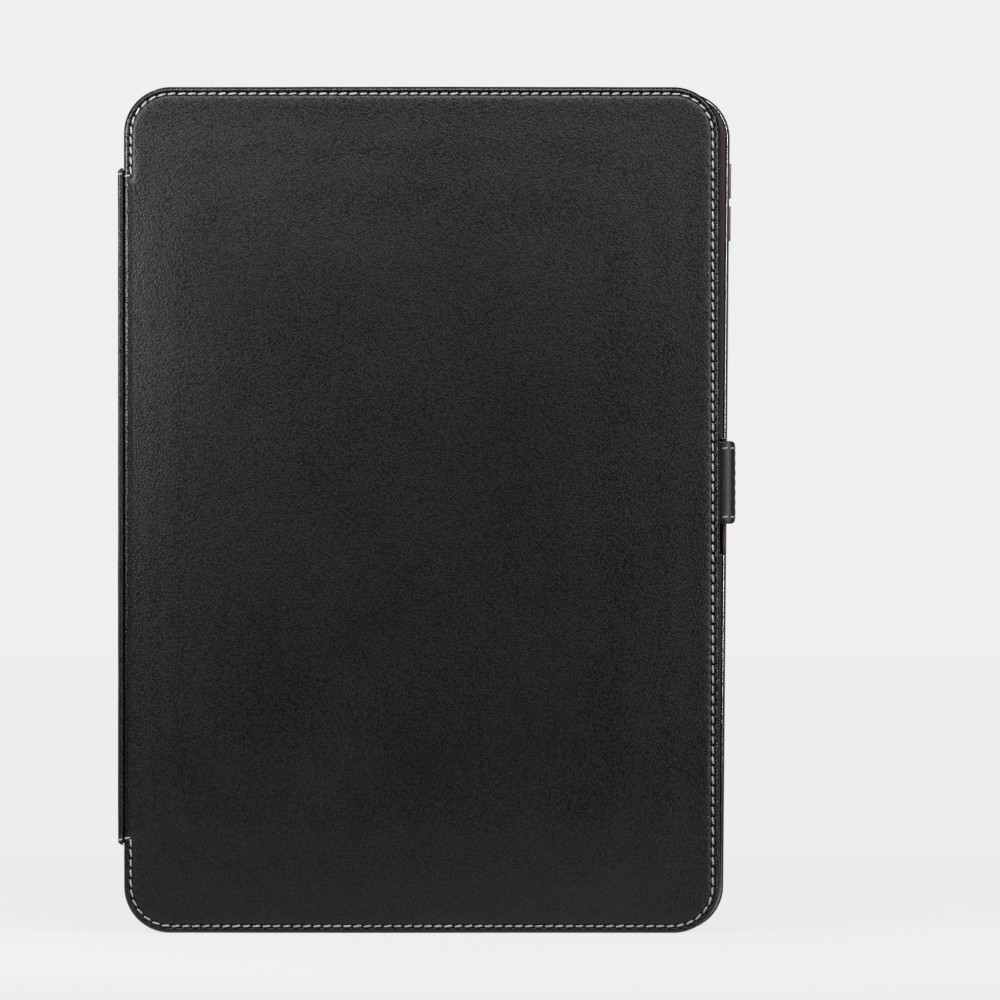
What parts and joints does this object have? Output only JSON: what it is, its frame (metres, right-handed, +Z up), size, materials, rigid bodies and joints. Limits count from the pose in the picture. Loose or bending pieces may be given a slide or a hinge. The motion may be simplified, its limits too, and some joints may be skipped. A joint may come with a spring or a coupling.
{
  "type": "tablet case",
  "caption": "Book-style leather tablet case with a stitched front cover, a soft spine, a clip-in tray with button covers, and a side closing strap.",
  "frame": {"origin": "centre of the footprint on the surface that the closed case stands on", "axes": "+Z up along the height, -Y out of the front cover, -X towards the spine, +X towards the closing strap"},
  "size_m": [0.1866, 0.015, 0.2556],
  "materials": {
    "leather": "fine pebbled grain, soft sheen",
    "thread": "light grey twisted thread",
    "board": "plain grey board",
    "lining": "black microfibre",
    "magnet": "nickel plated",
    "shell": "moulded, glossy",
    "lip": "matte, brown-black",
    "button": "satin, brownish grey"
  },
  "bodies": {
    "back_cover": {"back_leather": "leather", "back_board": "board", "back_lining": "lining", "tray_frame": "shell", "tray_floor": "shell", "tray_lip": "lip"},
    "spine": {"spine_leather": "leather", "spine_lining": "lining"},
    "front_cover": {"front_leather": "leather", "front_board": "board", "front_lining": "lining", "wake_magnet_upper": "magnet", "wake_magnet_lower": "magnet", "strap_root": "leather"},
    "strap_tab": {"strap_tab_leather": "leather", "strap_tab_magnet": "magnet", "strap_tab_lining": "lining"},
    "volume_up": {"volume_up_cover": "button"},
    "volume_down": {"volume_down_cover": "button"},
    "power_button": {"power_button_cover": "button"}
  },
  "joints": [
    {"name": "spine_fold", "type": "hinge", "parent": "back_cover", "child": "spine", "pos_m": [-0.0918, 0.0075, 0.12885], "axis": [0, 0, -1], "range_deg": [0, 180]},
    {"name": "cover_fold", "type": "hinge", "parent": "spine", "child": "front_cover", "pos_m": [-0.0918, -0.0075, 0.12885], "axis": [0, 0, -1], "range_deg": [0, 180]},
    {"name": "strap_fold", "type": "hinge", "parent": "front_cover", "child": "strap_tab", "pos_m": [0.09215, -0.0037, 0.1361], "axis": [0, 0, -1], "range_deg": [0, 120]},
    {"name": "volume_up_press", "type": "slide", "parent": "back_cover", "child": "volume_up", "axis": [-1, 0, 0.0087], "range_m": [0, 0.0004], "stiffness_N_per_m": 300},
    {"name": "volume_down_press", "type": "slide", "parent": "back_cover", "child": "volume_down", "axis": [-1, 0, 0.0087], "range_m": [0, 0.0004], "stiffness_N_per_m": 300},
    {"name": "power_button_press", "type": "slide", "parent": "back_cover", "child": "power_button", "axis": [-0.0087, 0, -1], "range_m": [0, 0.0004], "stiffness_N_per_m": 300}
  ]
}
